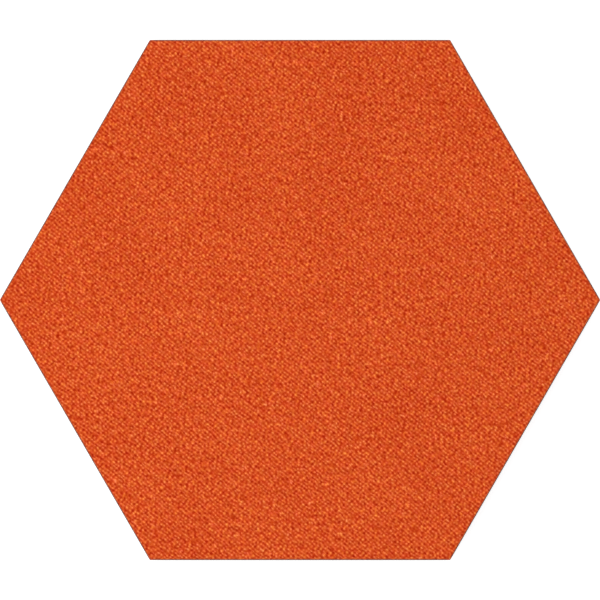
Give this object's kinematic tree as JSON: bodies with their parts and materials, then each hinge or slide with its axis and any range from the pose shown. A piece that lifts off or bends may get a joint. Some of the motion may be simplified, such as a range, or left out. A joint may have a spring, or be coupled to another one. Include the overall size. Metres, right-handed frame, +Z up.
{
  "type": "hexagonal practice pad",
  "caption": "Flat hexagonal practice pad: woven cloth face stretched over rubber, foam and a plywood board, on rubber feet, with a threaded stand insert underneath.",
  "frame": {"origin": "middle of the surface that the feet stand on, under the pad's centre", "axes": "+Z up, out of the playing face; +X through one of the hexagon's corners; +Y square to one of its flats"},
  "size_m": [0.2356, 0.2042, 0.0299],
  "materials": {
    "face_cloth": "orange crepe-weave upholstery cloth, dull, two-tone",
    "gum_rubber": "tan gum rubber, smooth, slightly dusty",
    "foam": "dark grey closed-cell foam",
    "plywood": "unvarnished birch plywood",
    "staple_steel": "galvanised wire",
    "plate_plastic": "fine-textured charcoal ABS",
    "zinc_steel": "bright zinc plate",
    "foot_rubber": "matt black moulded rubber"
  },
  "bodies": {
    "root": {"face_cloth": "face_cloth", "rubber_pad": "gum_rubber", "damping_foam": "foam", "base_board": "plywood", "staples": "staple_steel", "bottom_plate": "plate_plastic", "stand_insert": "zinc_steel", "insert_screw_1": "zinc_steel", "insert_screw_2": "zinc_steel", "insert_screw_3": "zinc_steel", "foot_1": "foot_rubber", "foot_2": "foot_rubber", "foot_3": "foot_rubber", "foot_4": "foot_rubber", "foot_5": "foot_rubber", "foot_6": "foot_rubber", "foot_washer_1": "zinc_steel", "foot_washer_2": "zinc_steel", "foot_washer_3": "zinc_steel", "foot_washer_4": "zinc_steel", "foot_washer_5": "zinc_steel", "foot_washer_6": "zinc_steel", "foot_screw_1": "zinc_steel", "foot_screw_2": "zinc_steel", "foot_screw_3": "zinc_steel", "foot_screw_4": "zinc_steel", "foot_screw_5": "zinc_steel", "foot_screw_6": "zinc_steel"}
  },
  "joints": []
}
